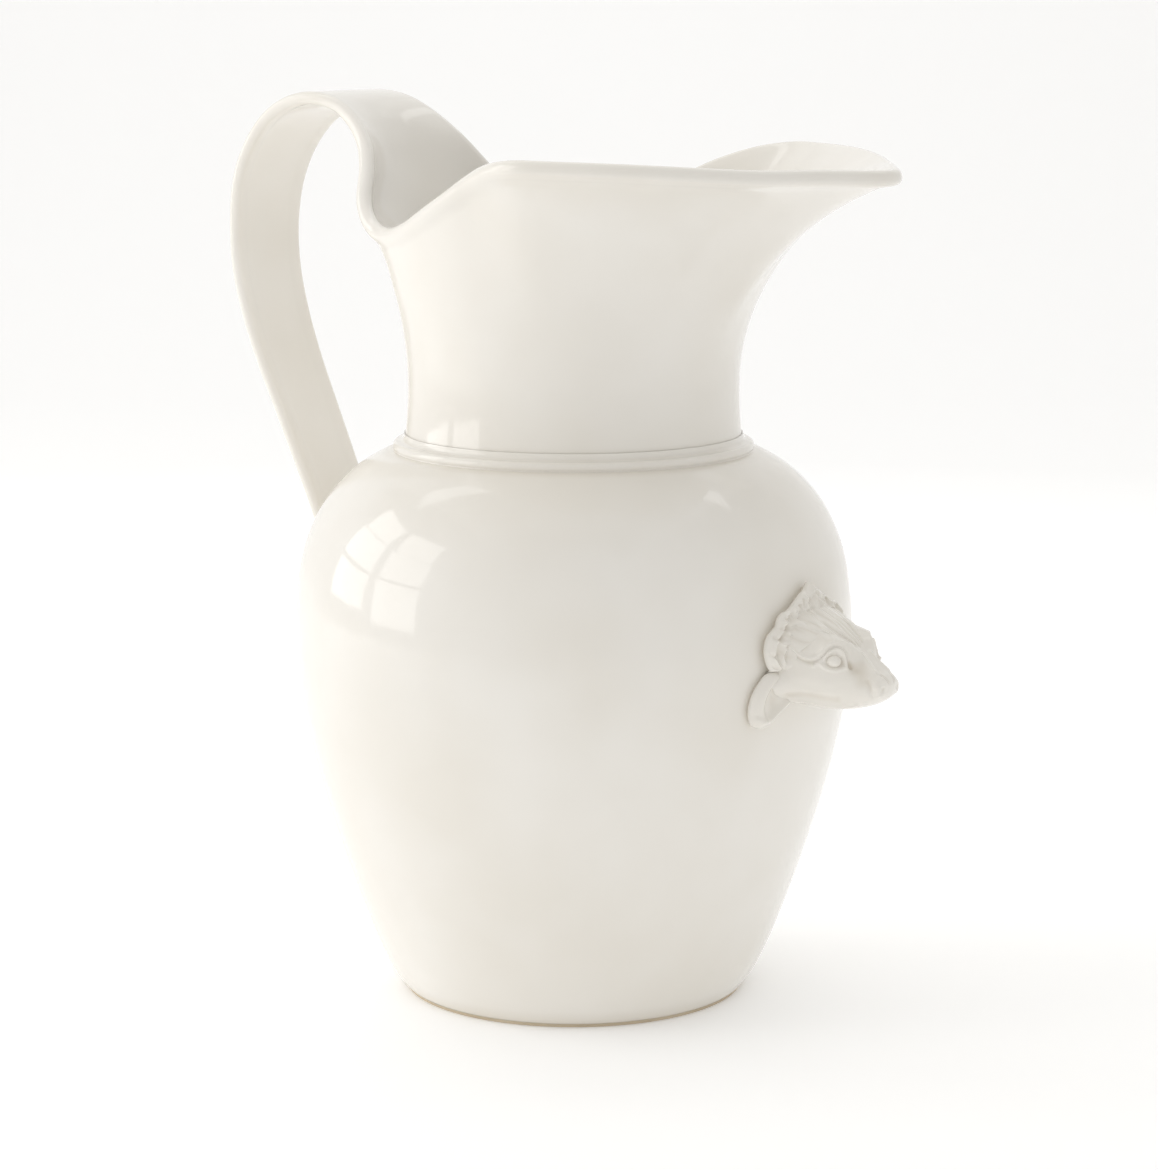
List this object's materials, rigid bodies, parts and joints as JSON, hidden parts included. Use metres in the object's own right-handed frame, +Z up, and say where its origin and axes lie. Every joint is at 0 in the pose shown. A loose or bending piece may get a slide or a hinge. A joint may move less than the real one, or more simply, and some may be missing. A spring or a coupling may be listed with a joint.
{
  "type": "ceramic pitcher",
  "caption": "Bulbous glazed ceramic pitcher with a flared pouring lip, a strap handle rising from the rim and an animal-head relief under the lip.",
  "frame": {"origin": "the vessel's axis in the plane of the flat foot", "axes": "+Z up along the vessel's axis, +X toward the pouring lip and the animal head, -X toward the handle, +Y to the pitcher's left"},
  "size_m": [0.2662, 0.1874, 0.2999],
  "materials": {
    "glaze": "glossy warm off-white glaze",
    "dry_clay": "dry, wiped, unglazed foot"
  },
  "bodies": {
    "root": {"foot": "dry_clay", "vessel_body": "glaze", "neck_bead": "glaze", "neck_spout": "glaze", "strap_handle": "glaze", "head_mask": "glaze", "hair_crown": "glaze", "ear_left": "glaze", "ear_right": "glaze", "eye_left": "glaze", "eye_right": "glaze"}
  },
  "joints": []
}
